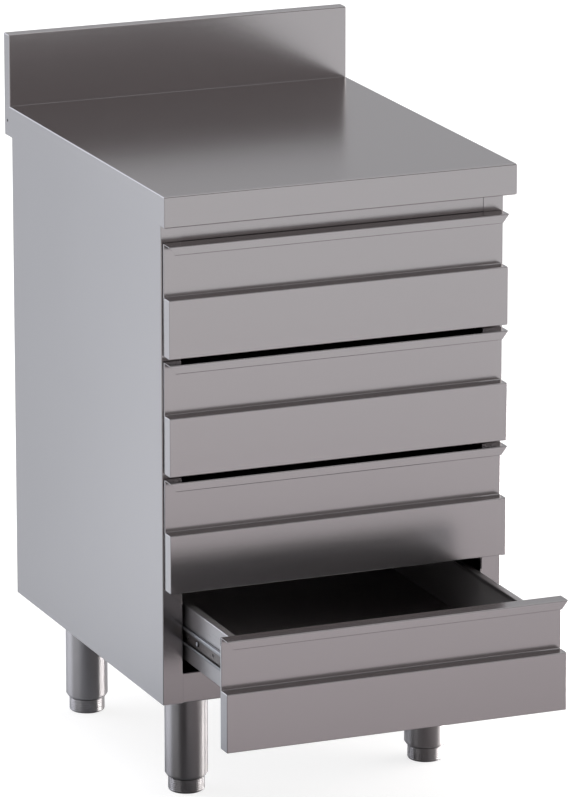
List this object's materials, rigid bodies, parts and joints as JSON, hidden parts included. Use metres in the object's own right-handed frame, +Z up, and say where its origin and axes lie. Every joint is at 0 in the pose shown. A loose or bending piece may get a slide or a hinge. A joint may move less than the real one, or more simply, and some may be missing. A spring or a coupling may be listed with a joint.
{
  "type": "drawer cabinet",
  "caption": "Stainless-steel kitchen drawer cabinet with a worktop and rear upstand, full-width drawers with hooked grip lips on ball-bearing runners, and round legs with screw feet.",
  "frame": {"origin": "on the floor, under the middle of the worktop's footprint", "axes": "+X to the right as seen by someone who faces the drawers, +Y from the drawers to the wall behind, +Z up"},
  "size_m": [0.5, 0.792, 0.95],
  "materials": {
    "worktop_steel": "satin stainless steel",
    "panel_steel": "satin stainless steel",
    "front_steel": "satin stainless steel",
    "box_steel": "bright stainless steel",
    "frame_steel": "plain stainless steel",
    "leg_steel": "ground stainless tube",
    "zinc_steel": "bright zinc plate",
    "cage_steel": "plain spring steel",
    "ball_steel": "polished bearing steel",
    "board": "raw particle board"
  },
  "bodies": {
    "cabinet": {"worktop": "worktop_steel", "worktop_board": "board", "side_panel_left": "panel_steel", "side_panel_right": "panel_steel", "back_panel": "panel_steel", "bottom_panel": "panel_steel", "top_rail": "panel_steel", "rear_rail": "panel_steel", "front_upright_left": "frame_steel", "front_upright_right": "frame_steel", "rear_upright_left": "frame_steel", "rear_upright_right": "frame_steel", "leg_channel_left": "frame_steel", "leg_channel_right": "frame_steel", "leg_front_left": "leg_steel", "leg_front_right": "leg_steel", "leg_rear_left": "leg_steel", "leg_rear_right": "leg_steel", "leg_bushes": "zinc_steel", "leg_bolts": "zinc_steel", "worktop_screws": "zinc_steel", "runner_screws": "zinc_steel", "cabinet_runners_1": "zinc_steel", "cabinet_runners_2": "zinc_steel", "cabinet_runners_3": "zinc_steel", "cabinet_runners_4": "zinc_steel"},
    "drawer_1": {"drawer_front_1": "front_steel", "drawer_box_1": "box_steel", "box_ends_1": "box_steel", "drawer_runners_1": "zinc_steel", "box_screws_1": "zinc_steel"},
    "ball_cage_1": {"ball_cages_1": "cage_steel", "runner_balls_1": "ball_steel"},
    "drawer_2": {"drawer_front_2": "front_steel", "drawer_box_2": "box_steel", "box_ends_2": "box_steel", "drawer_runners_2": "zinc_steel", "box_screws_2": "zinc_steel"},
    "ball_cage_2": {"ball_cages_2": "cage_steel", "runner_balls_2": "ball_steel"},
    "drawer_3": {"drawer_front_3": "front_steel", "drawer_box_3": "box_steel", "box_ends_3": "box_steel", "drawer_runners_3": "zinc_steel", "box_screws_3": "zinc_steel"},
    "ball_cage_3": {"ball_cages_3": "cage_steel", "runner_balls_3": "ball_steel"},
    "drawer_4": {"drawer_front_4": "front_steel", "drawer_box_4": "box_steel", "box_ends_4": "box_steel", "drawer_runners_4": "zinc_steel", "box_screws_4": "zinc_steel"},
    "ball_cage_4": {"ball_cages_4": "cage_steel", "runner_balls_4": "ball_steel"},
    "foot_front_left": {"foot_front_left": "leg_steel"},
    "foot_front_right": {"foot_front_right": "leg_steel"},
    "foot_rear_left": {"foot_rear_left": "leg_steel"},
    "foot_rear_right": {"foot_rear_right": "leg_steel"}
  },
  "joints": [
    {"name": "drawer_1_slide", "type": "slide", "parent": "cabinet", "child": "drawer_1", "axis": [0, -1, 0], "range_m": [0, 0.375]},
    {"name": "ball_cage_1_slide", "type": "slide", "parent": "cabinet", "child": "ball_cage_1", "axis": [0, -1, 0], "range_m": [0, 0.1875]},
    {"name": "drawer_2_slide", "type": "slide", "parent": "cabinet", "child": "drawer_2", "axis": [0, -1, 0], "range_m": [0, 0.375]},
    {"name": "ball_cage_2_slide", "type": "slide", "parent": "cabinet", "child": "ball_cage_2", "axis": [0, -1, 0], "range_m": [0, 0.1875]},
    {"name": "drawer_3_slide", "type": "slide", "parent": "cabinet", "child": "drawer_3", "axis": [0, -1, 0], "range_m": [0, 0.375]},
    {"name": "ball_cage_3_slide", "type": "slide", "parent": "cabinet", "child": "ball_cage_3", "axis": [0, -1, 0], "range_m": [0, 0.1875]},
    {"name": "drawer_4_slide", "type": "slide", "parent": "cabinet", "child": "drawer_4", "axis": [0, -1, 0], "range_m": [-0.197, 0.178]},
    {"name": "ball_cage_4_slide", "type": "slide", "parent": "cabinet", "child": "ball_cage_4", "axis": [0, -1, 0], "range_m": [-0.0985, 0.089]},
    {"name": "foot_front_left_screw", "type": "slide", "parent": "cabinet", "child": "foot_front_left", "axis": [0, 0, -1], "range_m": [0, 0.025]},
    {"name": "foot_front_right_screw", "type": "slide", "parent": "cabinet", "child": "foot_front_right", "axis": [0, 0, -1], "range_m": [0, 0.025]},
    {"name": "foot_rear_left_screw", "type": "slide", "parent": "cabinet", "child": "foot_rear_left", "axis": [0, 0, -1], "range_m": [0, 0.025]},
    {"name": "foot_rear_right_screw", "type": "slide", "parent": "cabinet", "child": "foot_rear_right", "axis": [0, 0, -1], "range_m": [0, 0.025]}
  ],
  "couplings": [
    {"joint": "ball_cage_1_slide", "follows": "drawer_1_slide", "ratio": 0.5},
    {"joint": "ball_cage_2_slide", "follows": "drawer_2_slide", "ratio": 0.5},
    {"joint": "ball_cage_3_slide", "follows": "drawer_3_slide", "ratio": 0.5},
    {"joint": "ball_cage_4_slide", "follows": "drawer_4_slide", "ratio": 0.5}
  ]
}
